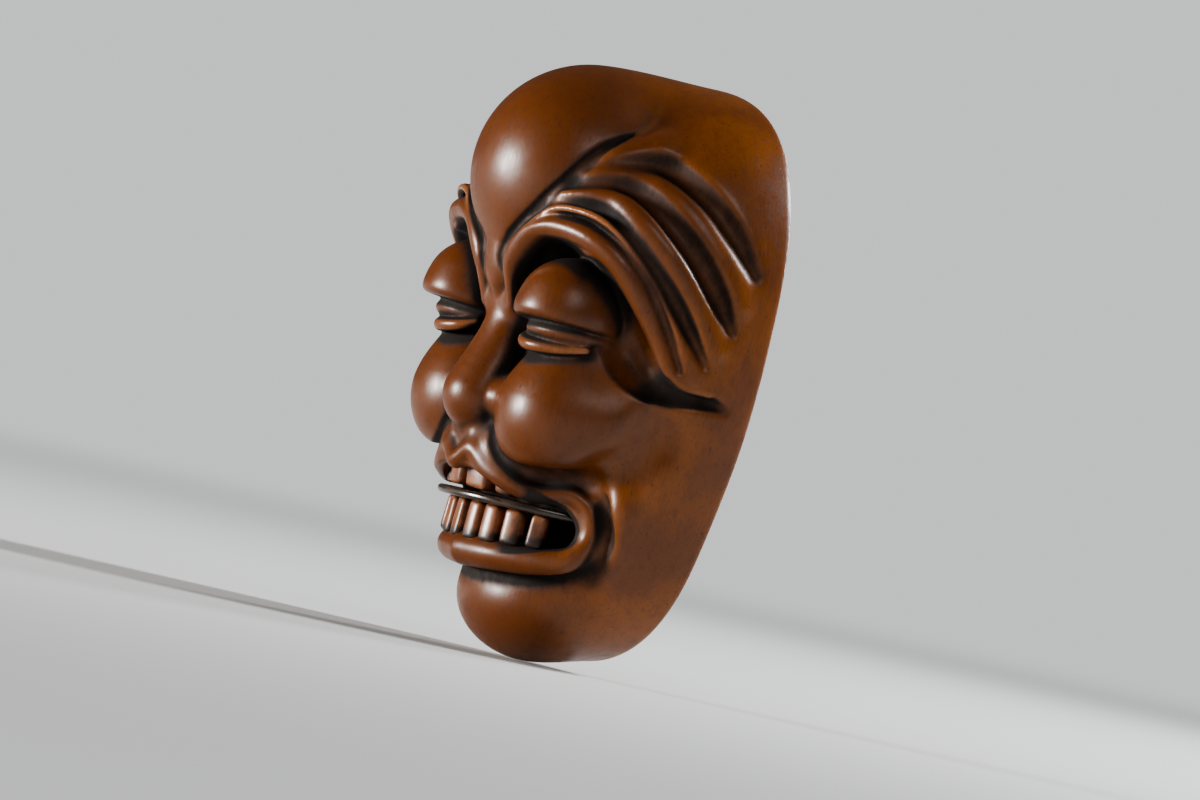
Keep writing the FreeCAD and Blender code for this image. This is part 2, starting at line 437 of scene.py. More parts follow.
class Value:
    """A number on its way through a material's nodes, which Python's signs work on."""

    def __init__(self, graph: "Graph", socket: bpy.types.NodeSocket) -> None:
        """Wraps an output socket of a graph."""
        self.graph = graph
        self.socket = socket

    def _math(self, operation: str, *values: Any) -> "Value":
        """Adds a Math node and returns its result."""
        return self.graph.node("ShaderNodeMath", {"operation": operation}, dict(enumerate(values)))

    def __add__(self, other: Any) -> "Value":
        """Returns self + other."""
        return self._math("ADD", self, other)

    def __radd__(self, other: Any) -> "Value":
        """Returns other + self."""
        return self._math("ADD", other, self)

    def __sub__(self, other: Any) -> "Value":
        """Returns self - other."""
        return self._math("SUBTRACT", self, other)

    def __rsub__(self, other: Any) -> "Value":
        """Returns other - self."""
        return self._math("SUBTRACT", other, self)

    def __mul__(self, other: Any) -> "Value":
        """Returns self * other."""
        return self._math("MULTIPLY", self, other)

    def __rmul__(self, other: Any) -> "Value":
        """Returns other * self."""
        return self._math("MULTIPLY", other, self)

    def held(self) -> "Value":
        """Holds the value between 0 and 1.

        Returns:
            The held value.
        """
        made = self._math("ADD", self, 0.0)
        made.socket.node.use_clamp = True
        return made

    def step(self, low: float, high: float) -> "Value":
        """Returns a smooth step, 0 at low and 1 at high."""
        settings = {"interpolation_type": "SMOOTHSTEP"}
        return self.graph.node("ShaderNodeMapRange", settings, {0: self, 1: low, 2: high})


class Graph:
    """The nodes of one material."""

    def __init__(self, name: str) -> None:
        """Makes an empty material of that name."""
        self.material = bpy.data.materials.new(name)
        self.material.use_nodes = True
        self.tree = self.material.node_tree
        self.tree.nodes.clear()
        self.place = self.node("ShaderNodeTexCoord", out="Object")

    def node(
        self,
        kind: str,
        settings: dict[str, Any] | None = None,
        values: dict[int | str, Any] | None = None,
        out: int | str = 0,
    ) -> Value:
        """Adds a node.

        Args:
            kind: The node's type.
            settings: Its own settings, set first.
            values: What its sockets are given, a number, a colour or another value.
            out: Which of its outputs is wanted.

        Returns:
            That output.
        """
        made = self.tree.nodes.new(kind)
        for name, setting in (settings or {}).items():
            setattr(made, name, setting)
        for name, value in (values or {}).items():
            if isinstance(value, Value):
                self.tree.links.new(value.socket, made.inputs[name])
            else:
                made.inputs[name].default_value = value
        return Value(self, made.outputs[out])

    def noise(
        self, size: float, stretch: Point = (1, 1, 1), detail: float = 4.0, rough: float = 0.55
    ) -> Value:
        """Makes cloudy noise.

        Args:
            size: Size of its clouds in millimetres.
            stretch: How many times longer the clouds are along x, y and z.
            detail: How many finer layers it has.
            rough: How strong those are.

        Returns:
            A value about 0.5.
        """
        scale = tuple(1.0 / s for s in stretch)
        spot = self.node("ShaderNodeMapping", None, {"Vector": self.place, "Scale": scale})
        values = {"Vector": spot, "Scale": 1.0 / (size * MM), "Detail": detail, "Roughness": rough}
        return self.node("ShaderNodeTexNoise", None, values)

    def kept(self, name: str) -> Value:
        """Returns a number kept on the piece's own points."""
        return self.node("ShaderNodeAttribute", {"attribute_name": name}, out="Fac")

    def mix(self, share: Any, first: Any, second: Any, blend: str = "MIX") -> Value:
        """Mixes two colours.

        Args:
            share: How much of the second, from 0 to 1.
            first: The first colour.
            second: The second colour.
            blend: How they mix.

        Returns:
            The mixed colour.
        """
        settings = {"data_type": "RGBA", "blend_type": blend}
        return self.node("ShaderNodeMix", settings, {0: share, 6: first, 7: second}, out=2)

    def bump(self, height: Value, depth: float, strength: float, under: Value | None = None) -> Value:
        """Makes relief from a height.

        Args:
            height: The height, from 0 to 1.
            depth: How deep a height of 1 is, in millimetres.
            strength: How strongly it shows.
            under: Another relief that it lies over.

        Returns:
            The relief.
        """
        values: dict[int | str, Any] = {"Height": height, "Distance": depth * MM, "Strength": strength}
        if under is not None:
            values["Normal"] = under
        return self.node("ShaderNodeBump", None, values)

    def surface(self, values: dict[int | str, Any]) -> bpy.types.Material:
        """Ends the material with a shader of those values and returns it."""
        return self.end(self.node("ShaderNodeBsdfPrincipled", None, values))

    def end(self, shader: Value) -> bpy.types.Material:
        """Joins a shader to the material's output.

        Args:
            shader: The shader.

        Returns:
            The finished material.
        """
        end = self.tree.nodes.new("ShaderNodeOutputMaterial")
        self.tree.links.new(shader.socket, end.inputs["Surface"])
        return self.material


@dataclass(frozen=True)
class Boxwood:
    """Stained and waxed boxwood, rubbed paler on its ridges, and dark in its grooves and hollows: partly
    stain left there, partly painted shade.
    """

    warm: Colour = (0.150, 0.042, 0.007, 1.0)
    amber: Colour = (0.240, 0.070, 0.006, 1.0)
    ruddy: Colour = (0.105, 0.030, 0.008, 1.0)
    brown: Colour = (0.050, 0.013, 0.005, 1.0)
    rubbed: Colour = (0.360, 0.135, 0.050, 1.0)
    # Near-black of the grooves and hollows: partly stain, partly painted shade.
    shade_and_stain_colour: Colour = (0.006, 0.003, 0.002, 1.0)
    gloss: float = 0.36
    wax: float = 0.12
    cloud_size: float = 8.0
    mottle_size: float = 0.9
    grain_size: float = 0.16
    brush_size: float = 0.12
    fleck_size: float = 0.30

    def material(self) -> bpy.types.Material:
        """Makes the finish from the shell's own sunk places, darkened as stain and painted shade, its proud
        and hollow places and the wood's figure.

        Returns:
            The material.
        """
        g = Graph("boxwood")
        shade_and_stain, ridge, bare = g.kept("shade_and_stain"), g.kept("ridge"), g.kept("bare")
        clouds = g.noise(self.cloud_size, (1.0, 1.0, 1.6), 3.0, 0.5)
        mottle = g.noise(self.mottle_size, (1.0, 1.0, 1.6), 7.0, 0.68)
        grain = g.noise(self.grain_size, (1.0, 1.0, 20.0), 3.0)
        brush = g.noise(self.brush_size, (1.0, 1.0, 9.0), 3.0)
        flecks = g.noise(self.fleck_size, (1.0, 1.0, 2.2), 1.0).step(0.70, 0.76)
        colour = g.mix(clouds.step(0.34, 0.64), self.warm, self.amber)
        depth = g.node("ShaderNodeSeparateXYZ", None, {0: g.place}, out="Y")
        forward = depth.step(-4 * MM, -15 * MM)
        colour = g.mix((forward * 0.70 + (clouds - 0.5) * 0.8).held(), colour, self.ruddy)
        colour = g.mix(mottle.step(0.46, 0.76) * 0.38, colour, self.brown)
        colour = g.mix(grain.step(0.46, 0.78) * 0.36, colour, self.brown)
        colour = g.mix(flecks * 0.6, colour, self.brown)
        colour = g.mix(bare * 0.35, colour, self.brown)
        worn = (ridge * 1.3 + (mottle - 0.5) * 0.35).step(0.40, 0.95)
        colour = g.mix(worn * 0.60, colour, self.rubbed)
        # Darkens the sunk places, partly as stain and partly as painted shade, and the inside of the open
        # mouth as painted shade.
        shade_and_stain_share = (shade_and_stain * 1.3 + (mottle - 0.5) * 0.16).step(0.14, 0.62)
        colour = g.mix(shade_and_stain_share * 0.97, colour, self.shade_and_stain_colour)
        dull = shade_and_stain_share * 0.42 + bare * 0.20 - worn * 0.08
        rough = (self.gloss + 0.30 * (mottle - 0.5) + 0.22 * (brush - 0.5) + dull).held()
        relief = g.bump(brush, 0.012, 0.6)
        relief = g.bump(mottle - flecks * 0.35, 0.035, 0.4, relief)
        return g.surface(
            {
                "Base Color": colour,
                "Roughness": rough,
                "Normal": relief,
                "Coat Weight": (self.wax * (1.0 - shade_and_stain_share - bare)).held(),
                "Coat Roughness": 0.25,
                "IOR": 1.45,
            }
        )


@dataclass(frozen=True)
class ToothWood:
    """Paler wood of the teeth, with painted shade where it stands in the gum and deep in the mouth."""

    pale: Colour = (0.290, 0.115, 0.055, 1.0)
    tan: Colour = (0.150, 0.050, 0.020, 1.0)
    shade_and_stain_colour: Colour = (0.010, 0.005, 0.003, 1.0)
    gloss: float = 0.34

    def material(self) -> bpy.types.Material:
        """Makes the finish, with painted shade where a tooth is sunk in the gum.

        Returns:
            The material.
        """
        g = Graph("tooth_wood")
        shade_and_stain = g.kept("shade_and_stain")
        mottle = g.noise(0.9, (1.0, 1.0, 2.0), 5.0)
        grain = g.noise(0.14, (1.0, 1.0, 8.0), 3.0)
        colour = g.mix(mottle.step(0.38, 0.68), self.pale, self.tan)
        colour = g.mix(grain.step(0.50, 0.80) * 0.35, colour, self.tan)
        # Painted shade where a tooth stands in the gum and deep in the mouth.
        shade_and_stain_share = (shade_and_stain + (mottle - 0.5) * 0.3).step(0.22, 0.90)
        colour = g.mix(shade_and_stain_share * 0.94, colour, self.shade_and_stain_colour)
        relief = g.bump(mottle + grain * 0.4, 0.03, 0.5)
        rough = (self.gloss + 0.25 * (mottle - 0.5) + shade_and_stain_share * 0.2).held()
        return g.surface(
            {
                "Base Color": colour,
                "Roughness": rough,
                "Normal": relief,
                "Coat Weight": 0.2,
                "Coat Roughness": 0.2,
                "IOR": 1.48,
            }
        )


@dataclass(frozen=True)
class DarkHorn:
    """Polished dark horn with faint paler streaks along its length."""

    dark: Colour = (0.030, 0.018, 0.013, 1.0)
    streak: Colour = (0.085, 0.050, 0.036, 1.0)
    gloss: float = 0.26

    def material(self) -> bpy.types.Material:
        """Makes the finish, streaked across the blade.

        Returns:
            The material.
        """
        g = Graph("dark_horn")
        streaks = g.noise(0.5, (5.0, 5.0, 1.0), 4.0)
        scratch = g.noise(0.08, (8.0, 8.0, 1.0), 2.0)
        colour = g.mix(streaks.step(0.42, 0.72) * 0.8, self.dark, self.streak)
        relief = g.bump(streaks + scratch * 0.3, 0.02, 0.4)
        rough = (self.gloss + 0.25 * (streaks - 0.5) + 0.12 * (scratch - 0.5)).held()
        return g.surface(
            {"Base Color": colour, "Roughness": rough, "Normal": relief, "IOR": 1.54, "Coat Weight": 0.3}
        )


@dataclass(frozen=True)
class Paper:
    """The plain pale paper under the mask."""

    pale: Colour = (0.66, 0.66, 0.65, 1.0)
    shade: Colour = (0.63, 0.63, 0.62, 1.0)
    sky: Colour = (0.80, 0.81, 0.82, 1.0)
    glow: float = 0.80
    near_reach: float = 0.10
    far_reach: float = 0.95

    def material(self) -> bpy.types.Material:
        """Makes the paper, which fades into the backdrop far from the mask.

        Returns:
            The material.
        """
        g = Graph("pale_paper")
        fibre = g.noise(1.2, (1.0, 1.0, 1.0), 5.0)
        colour = g.mix(fibre, self.pale, self.shade)
        relief = g.bump(fibre, 0.02, 0.2)
        values = {"Base Color": colour, "Roughness": 0.9, "Normal": relief}
        near = g.node("ShaderNodeBsdfPrincipled", None, values)
        far = g.node("ShaderNodeEmission", None, {"Color": self.sky, "Strength": self.glow})
        away = g.node("ShaderNodeVectorMath", {"operation": "LENGTH"}, {0: g.place}, out="Value")
        share = away.step(self.near_reach, self.far_reach)
        return g.end(g.node("ShaderNodeMixShader", None, {0: share, 1: near, 2: far}))


class Side(Enum):
    """The mask's own left and right, and the way each lies along x."""

    LEFT = 1
    RIGHT = -1


class Jaw(Enum):
    """The two rows of teeth."""

    UPPER = "upper"
    LOWER = "lower"


def smooth_mesh(bm: bmesh.types.BMesh, name: str) -> bpy.types.Mesh:
    """Finishes a shape as a smooth-shaded mesh.

    Args:
        bm: The shape, which is used up.
        name: The mesh's name.

    Returns:
        The mesh.
    """
    for face in bm.faces:
        face.smooth = True
    mesh = bpy.data.meshes.new(name)
    bm.to_mesh(mesh)
    bm.free()
    return mesh


def place_mesh(
    name: str, mesh: bpy.types.Mesh, stands_for: str, material: bpy.types.Material
) -> None:
    """Puts a finished mesh in the scene as a piece.

    Args:
        name: The piece's name.
        mesh: Its mesh, in metres and in place.
        stands_for: The CAD node it replaces.
        material: Its finish.
    """
    mesh.materials.clear()
    mesh.materials.append(material)
    piece = bpy.data.objects.new(name, mesh)
    bpy.context.scene.collection.objects.link(piece)
    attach(piece, "root")
    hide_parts(stands_for)
    LOG.info("%s: %d faces", name, len(mesh.polygons))


def keep_number(mesh: bpy.types.Mesh, name: str, numbers: np.ndarray) -> None:
    """Keeps a number for each of a mesh's points, which its material reads.

    Args:
        mesh: The mesh.
        name: What the number is called.
        numbers: The numbers, one for each point.
    """
    kept = mesh.attributes.new(name, "FLOAT", "POINT")
    kept.data.foreach_set("value", numbers.astype(np.float32))


def spots_of(mesh: bpy.types.Mesh) -> np.ndarray:
    """Lists a mesh's points.

    Args:
        mesh: The mesh.

    Returns:
        Its points in millimetres.
    """
    flat = np.empty(len(mesh.vertices) * 3, np.float32)
    mesh.vertices.foreach_get("co", flat)
    return flat.reshape(-1, 3).astype(float) / MM


@dataclass(frozen=True)
class Part:
    """A shape of the carving, and the fillet where it meets the clay."""

    shape: Egg | Cord | Block
    fillet: float = 0.0


@dataclass(frozen=True)
class Line:
    """A line of the carving, laid on the skin, and the fillet where it meets the clay."""

    marks: Marks
    fillet: float


@dataclass
class MaskShell:
    """The carved shell: a skull and jaw, the boss, folds, lids, cheeks, nose, lips and hollow."""

    low: Point = (-1.2, -24.6, -30.2)
    high: Point = (22.4, 1.6, 29.2)
    cell: float = 0.2
    quick_cell: float = 0.3
    ground_cell: float = 0.4
    most_triangles: int = 192_000
    clay: Clay = field(init=False)
    ground: Clay = field(init=False)

    # The rough head: skull, jaw, and the mound and band of the brow.
    head: tuple[Part, ...] = (
        Part(Egg((0, 0.0, 6.0), (20.2, 15.2, 21.2), power=2.6)),
        Part(Egg((0, 0.0, -8.2), (17.2, 13.4, 18.6), power=2.15), 5.0),
        Part(Egg((8.6, -9.4, 9.4), (8.6, 8.2, 8.4), yaw=-15), 3.0),
        Part(Cord(((10.5, -10.4, 19.5, 2.4), (8.6, -13.4, 16.6, 3.4), (6.8, -14.8, 13.4, 3.9),
                   (4.8, -15.6, 10.2, 3.4), (2.7, -16.0, 7.2, 2.4), (1.8, -16.0, 3.8, 1.8))), 1.5),
    )
    # The outer, broad and narrow folds, then the grooves: the edge of the forehead's plate, the one
    # over the broad fold, the one over the narrow fold, and the crease at the temple.
    folds: tuple[Line, ...] = (
        Line(((35, 17.0, -1.6, 0.9), (48, 16.5, -1.7, 1.8), (60, 15.0, -1.8, 2.0), (71, 11.5, -1.8, 1.9),
              (79, 8.0, -1.2, 1.2)), 0.9),
        Line(((8, 8.5, 0.0, 0.6), (20, 13.5, -0.7, 0.8), (36, 15.0, -0.5, 1.3), (50, 13.0, -0.8, 1.8),
              (62, 9.5, -1.2, 2.0), (75, 3.5, -1.0, 1.2)), 0.6),
        Line(((14, 11.0, 0.2, 0.2), (24, 13.0, 0.3, 0.4), (36, 13.0, 0.9, 0.5), (47, 11.5, 0.2, 0.7),
              (58, 7.5, -0.6, 1.0), (70, 2.0, -0.5, 0.5)), 0.4),
    )
    grooves: tuple[Line, ...] = (
        Line(((30, 17.5, 0.4, 0.2), (38, 18.5, 0.2, 0.4), (50, 19.0, 0.1, 0.7), (64, 17.0, 0.1, 0.8),
              (74, 14.0, 0.0, 0.7), (81, 11.0, 0.0, 0.2)), 1.2),
        Line(((26, 15.5, 0.1, 0.4), (38, 16.5, 0.5, 0.6), (50, 15.5, 0.7, 0.9), (63, 12.0, 0.4, 1.0),
              (72, 8.5, 0.1, 0.8), (78, 5.5, 0.0, 0.2)), 0.9),
        Line(((16, 12.0, 0.4, 0.1), (27, 14.0, 0.6, 0.2), (40, 13.5, 1.0, 0.3), (52, 10.5, 0.6, 0.5),
              (64, 6.0, 0.2, 0.7), (73, 2.0, 0.0, 0.2)), 0.6),
        Line(((56, -0.5, -0.4, 1.2), (64, -1.0, -0.5, 1.1), (72, -1.0, -0.3, 0.8),
              (81, -1.5, -0.1, 0.1)), 0.9),
    )
    # The eye's socket, its outer corner, the fold along its edge and the groove over that fold.
    socket: Part = Part(Egg((8.8, -18.6, 5.2), (5.8, 6.6, 5.2), yaw=-20), 0.5)
    corner: Line = Line(((39, 6.5, 0.0, 2.7), (48, 3.0, 0.3, 2.6), (54, 0.5, 0.1, 2.4),
                         (59, -1.0, -0.5, 1.5)), 0.5)
    inner_fold: Line = Line(((8, 3.5, -0.2, 0.5), (9, 7.5, 0.1, 0.9), (18, 11.0, -0.3, 1.1),
                             (34, 11.2, 0.0, 1.1), (46, 9.3, -0.5, 1.2), (57, 4.8, -0.9, 1.1),
                             (67, 0.3, -0.8, 0.8), (76, -0.5, -0.3, 0.4)), 0.3)
    inner_groove: Line = Line(((16, 11.0, 0.6, 0.1), (27, 12.5, 0.8, 0.2), (40, 12.2, 1.0, 0.2),
                               (52, 9.0, 0.5, 0.4), (61, 4.5, 0.2, 0.5), (67, 1.0, 0.0, 0.3)), 0.3)
    # The boss, the roll it beds on, and how its fillet widens and its crease fades up the crown.
    bedding: Line = Line(((8, 8.0, -1.0, 1.9), (16, 11.0, -1.7, 2.0), (26, 15.0, -2.7, 2.1),
                          (36, 19.0, -3.5, 1.9)), 0.8)
    swell: Egg = Egg((0, -11.0, 16.2), (10.4, 11.2, 10.8))
    keel: Cord = Cord(((0, -11.6, 14.5, 9.6), (0, -13.6, 10.8, 6.4), (0, -15.6, 8.0, 4.0),
                       (0, -17.2, 5.8, 1.8)))
    crown_level: float = 19.5
    crown_widening: float = 0.45
    crown_fillets: tuple[float, float] = (0.35, 4.0)
    crease_thick: float = 0.3
    crease_fade: float = 0.6
    # The lid's two eggs, and the middle, level and slopes of its flat underside.
    lid: tuple[Part, ...] = (
        Part(Egg((8.8, -14.6, 4.2), (4.9, 5.4, 4.8), tilt=-8)),
        Part(Egg((8.7, -15.2, 3.6), (4.4, 4.8, 2.4)), 1.0),
    )
    under_lid: Point = (8.5, -15.0, 2.5)
    under_lid_slopes: tuple[float, float] = (0.04, 0.10)
    cheek: tuple[Part, ...] = (
        Part(Cord(((8.6, -12.0, 0.0, 4.3), (8.4, -12.4, -2.6, 5.1), (8.2, -12.6, -4.6, 5.5))), 1.2),
        Part(Egg((8.0, -12.8, -5.8), (6.1, 6.1, 6.0)), 2.0),
        Part(Egg((10.8, -9.4, -5.0), (5.6, 5.8, 5.4)), 2.0),
    )
    # The closed eye's slit, then the eyeball's band and the lower lid in it.
    slit: Part = Part(Cord(((4.9, -17.0, 1.6, 0.4), (7.0, -18.3, 1.2, 0.6), (9.6, -17.6, 1.2, 0.6),
                            (12.6, -15.0, 1.5, 0.4))), 0.3)
    in_slit: tuple[Part, ...] = (
        Part(Egg((8.7, -13.9, 2.0), (4.4, 4.5, 1.5)), 0.2),
        Part(Cord(((4.9, -16.4, 1.4, 0.4), (6.3, -17.6, 0.7, 0.6), (8.6, -18.0, 0.4, 0.65),
                   (11.0, -16.6, 0.5, 0.6), (12.8, -14.6, 0.9, 0.4))), 0.25),
    )
    nose: tuple[Part, ...] = (
        Part(Cord(((0, -15.2, 5.2, 2.6), (0, -15.5, 0.5, 2.9), (0, -17.2, -5.2, 3.5))), 0.8),
        Part(Egg((3.5, -15.6, -5.0), (2.2, 2.8, 2.2)), 0.6),
    )
    # Muzzle, chin and upper lip, the line and the hollow under the cheek, and the mouth's pocket.
    muzzle: tuple[Part, ...] = (
        Part(Egg((0, -8.0, -13.0), (11.4, 10.2, 7.0)), 0.8),
        Part(Egg((0, -7.0, -22.4), (8.5, 6.5, 5.8)), 3.0),
        Part(Cord(((0, -15.9, -9.4, 2.3), (3.5, -15.4, -9.7, 2.5), (6.5, -13.5, -10.7, 2.5),
                   (9.2, -11.1, -11.4, 1.9))), 1.3),
    )
    cheek_line: Line = Line(((13, -7.5, 0.0, 0.3), (18, -10.0, 0.0, 0.5), (28, -11.5, 0.0, 0.6),
                             (39, -12.0, 0.0, 0.6), (49, -11.0, 0.0, 0.4)), 0.5)
    under_cheek: Marks = ((34, -12.0, 0.0, 0.0), (48, -11.0, 0.0, 0.0), (57, -9.0, 0.0, 0.0),
                          (65, -6.0, 0.0, 0.0))
    under_cheek_press: tuple[float, float] = (1.9, 2.2)
    opening: Egg = Egg((0, -10.6, -15.3), (10.4, 14.0, 3.9), power=2.2)
    mouth_end: float = -9.6
    # The ridge under the nose and the lips, then the fold and the groove beside the mouth.
    lips: tuple[Part, ...] = (
        Part(Cord(((1.3, -17.2, -7.6, 0.8), (2.0, -17.5, -9.8, 0.9))), 0.7),
        Part(Cord(((-2.0, -17.9, -10.4, 0.7), (0, -18.2, -11.4, 0.8), (2.0, -17.9, -10.2, 0.7),
                   (4.3, -16.9, -11.6, 0.8), (6.3, -15.4, -12.6, 0.8), (8.2, -13.3, -12.9, 0.8),
                   (9.9, -11.0, -12.3, 0.8), (11.1, -9.4, -13.6, 0.8), (11.3, -9.1, -16.0, 0.85),
                   (10.3, -10.2, -18.1, 1.1), (7.6, -12.2, -18.9, 1.3), (4.0, -14.1, -19.1, 1.5),
                   (0, -15.0, -19.2, 1.6))), 0.8),
    )
    smile: Cord = Cord(((13.6, -9.4, -10.4, 0), (14.6, -8.2, -13.4, 0), (14.4, -7.8, -17.0, 0),
                        (12.6, -8.8, -20.6, 0)))
    smile_press: tuple[float, float] = (-0.8, 1.6)
    smile_groove: Part = Part(Cord(((9.6, -13.0, -10.4, 0.3), (11.8, -10.4, -11.2, 0.7),
                                    (12.9, -8.9, -13.4, 0.9), (13.0, -8.5, -16.4, 0.9),
                                    (11.8, -9.2, -19.6, 0.8), (9.0, -11.2, -21.8, 0.5))), 0.35)
    # The hollow behind, the gouge marks in it, and the seat that takes the bar's ends.
    hollow: tuple[Egg, Egg] = (
        Egg((0, 0.6, 5.6), (17.0, 12.2, 18.3)),
        Egg((0, 0.6, -8.7), (14.0, 7.2, 16.4)),
    )
    hollow_fillet: float = 4.0
    gouge_width: float = 3.0
    gouge_length: float = 3.4
    gouge_depth: float = 0.13
    rim_fillet: float = 0.5
    bar_bed: Block = Block((0, 0, 0), (17.7, 3.0, 2.2))
    # How far out and in the skin is felt for hollows and ridges, and how much each counts. The hollows get
    # painted shade, partly stain; the ridges get rubbed wear.
    sunk_reaches: tuple[tuple[float, float], ...] = ((0.6, 0.24), (1.2, 0.34), (2.4, 0.30), (4.5, 0.12))
    proud_reaches: tuple[tuple[float, float], ...] = ((0.5, 0.5), (1.0, 0.5))
    # How wide and tall the painted shade inside the open mouth is.
    mouth_shade_size: tuple[float, float] = (10.8, 4.4)

    def carve(self) -> None:
        """Shapes the whole block, front first, then the hollow behind."""
        self.clay = self._block(self.cell)
        self.ground = self._block(self.ground_cell)
        self._brow()
        self._socket()
        self._boss()
        self._lid()
        self._lay_on(self.cheek)
        self._cut_in(self.slit)
        self._lay_on(self.in_slit)
        self._lay_on(self.nose)
        self._mouth()
        self._back()
        self.clay.soften()

    def _block(self, cell: float) -> Clay:
        """Roughs out the head, before any fold is cut.

        Args:
            cell: Distance between grid points.

        Returns:
            The rough head.
        """
        clay = Clay(self.low, self.high, cell)
        for part in self.head:
            clay.add(part.shape, part.fillet)
        return clay

    def _lay_on(self, parts: tuple[Part, ...]) -> None:
        """Adds parts to the clay in order.

        Args:
            parts: The parts.
        """
        for part in parts:
            self.clay.add(part.shape, part.fillet)

    def _cut_in(self, part: Part) -> None:
        """Cuts a part out of the clay."""
        self.clay.cut(part.shape, part.fillet)

    def _brow(self) -> None:
        """Lays the folds over the eye, outer one first, and cuts the grooves between them."""
        for line in self.folds:
            self.clay.add(self.ground.lay(line.marks), line.fillet)
        for line in self.grooves:
            self.clay.cut(self.ground.lay(line.marks), line.fillet)

    def _socket(self) -> None:
        """Sinks the eye socket and lays the inner fold along its edge."""
        clay, ground = self.clay, self.ground
        self._cut_in(self.socket)
        clay.cut(ground.lay(self.corner.marks), self.corner.fillet)
        clay.add(ground.lay(self.inner_fold.marks), self.inner_fold.fillet)
        clay.cut(ground.lay(self.inner_groove.marks), self.inner_groove.fillet)

    def _boss(self) -> None:
        """Swells the forehead, flowing into the crown and creased where it meets the brow."""
        clay = self.clay
        x, y, z = clay.places()
        clay.add(self.ground.lay(self.bedding.marks), self.bedding.fillet)
        boss = np.minimum(self.swell.distance(x, y, z), self.keel.distance(x, y, z)).astype(np.float32)
        seam = np.hypot(clay.d, boss)
        least, most = self.crown_fillets
        fillet = np.clip(least + (z - self.crown_level) * self.crown_widening, least, most)
        clay.d = smooth_min(clay.d, boss, (fillet * np.ones_like(clay.d)).astype(np.float32))
        thick = self.crease_thick * ease((z - 5.5) / 2.0) - self.crease_fade * ease((z - 19.0) / 6.0)
        clay.take(seam - thick, 0.4)

    def _lid(self) -> None:
        """Hangs the swollen lid in its socket, flat beneath."""
        clay = self.clay
        x, y, z = clay.places()
        below = clay.d.copy()
        clay.d[:] = clay.far
        self._lay_on(self.lid)
        aside, forward, level = self.under_lid
        rise, fall = self.under_lid_slopes
        under = (level + rise * (x - aside) - fall * (y - forward)) - z
        clay.take(-under, 0.5)
        clay.d = smooth_min(below, clay.d, 0.25)

    def _mouth(self) -> None:
        """Builds the muzzle and chin, opens the mouth and lays the lips and smile fold round it."""
        clay = self.clay
        x, y, z = clay.places()
        self._lay_on(self.muzzle)
        clay.cut(clay.lay(self.cheek_line.marks), self.cheek_line.fillet)
        clay.press(clay.lay(self.under_cheek), *self.under_cheek_press)
        opening = self.opening.distance(x, y, z)
        clay.take(-smooth_min(-opening, -(y - self.mouth_end) * np.ones_like(opening), 0.8), 0.3)
        self._lay_on(self.lips)
        clay.press(self.smile, *self.smile_press)
        self._cut_in(self.smile_groove)

    def _inside(self, x: np.ndarray, y: np.ndarray, z: np.ndarray) -> np.ndarray:
        """Measures how far places are from the hollow.

        Args:
            x: Places across the face.
            y: Places from front to back.
            z: Places up the face.

        Returns:
            Distances, below zero in the hollow.
        """
        upper, lower = (egg.distance(x, y, z) for egg in self.hollow)
        return smooth_min(upper, lower, self.hollow_fillet)

    def _back(self) -> None:
        """Hollows the back with rows of gouge marks, flattens the rim and lets in the bar's ends."""
        clay = self.clay
        x, y, z = clay.places()
        row = np.floor(z / self.gouge_length)
        along = np.abs(np.sin(np.pi * (x / self.gouge_width + 0.37 * row + 0.35 * np.sin(1.7 * row))))
        across = np.abs(np.sin(np.pi * z / self.gouge_length))
        clay.take(self._inside(x, y, z) + self.gouge_depth * along * across, self.rim_fillet)
        clay.take(-y, self.rim_fillet)
        clay.cut(self.bar_bed)

    def build(self, material: bpy.types.Material) -> None:
        """Carves the shell, meshes its skin and keeps its crevices, for stain and painted shade, and its
        ridges for the finish.

        Args:
            material: The shell's finish.
        """
        self.carve()
        spots, faces = self.clay.skin()
        mesh = bpy.data.meshes.new("shell_skin")
        mesh.from_pydata((spots * MM).tolist(), [], faces.tolist())
        mesh = self._thin(mesh)
        self._face_out(mesh)
        self._mark_wear_and_shade(mesh)
        place_mesh("carved_shell", mesh, "mask_shell", material)

    def _thin(self, mesh: bpy.types.Mesh) -> bpy.types.Mesh:
        """Thins the skin to no more triangles than a piece may have.

        Args:
            mesh: The skin.

        Returns:
            The thinner skin.
        """
        carrier = bpy.data.objects.new("thinning", mesh)
        bpy.context.scene.collection.objects.link(carrier)
        thin = carrier.modifiers.new("thin", "DECIMATE")
        thin.ratio = min(1.0, self.most_triangles / (2.0 * len(mesh.polygons)))
        seen = carrier.evaluated_get(bpy.context.evaluated_depsgraph_get())
        made = bpy.data.meshes.new_from_object(seen)
        bpy.data.objects.remove(carrier)
        return made

    def _face_out(self, mesh: bpy.types.Mesh) -> None:
        """Turns every face outwards and shades the skin smooth.

        Args:
            mesh: The skin.
        """
        bm = bmesh.new()
        bm.from_mesh(mesh)
        bmesh.ops.recalc_face_normals(bm, faces=bm.faces)
        for face in bm.faces:
            face.smooth = True
        bm.to_mesh(mesh)
        bm.free()

    def _mark_wear_and_shade(self, mesh: bpy.types.Mesh) -> None:
        """Works out how sunk, how proud and how far into the hollow each point of the skin is. How sunk it
        is, and the inside of the open mouth, are kept as painted shade; in the sunk places it is partly
        stain too.

        Args:
            mesh: The skin.
        """
        clay = self.clay
        spots = spots_of(mesh)
        out = clay.outward(spots)
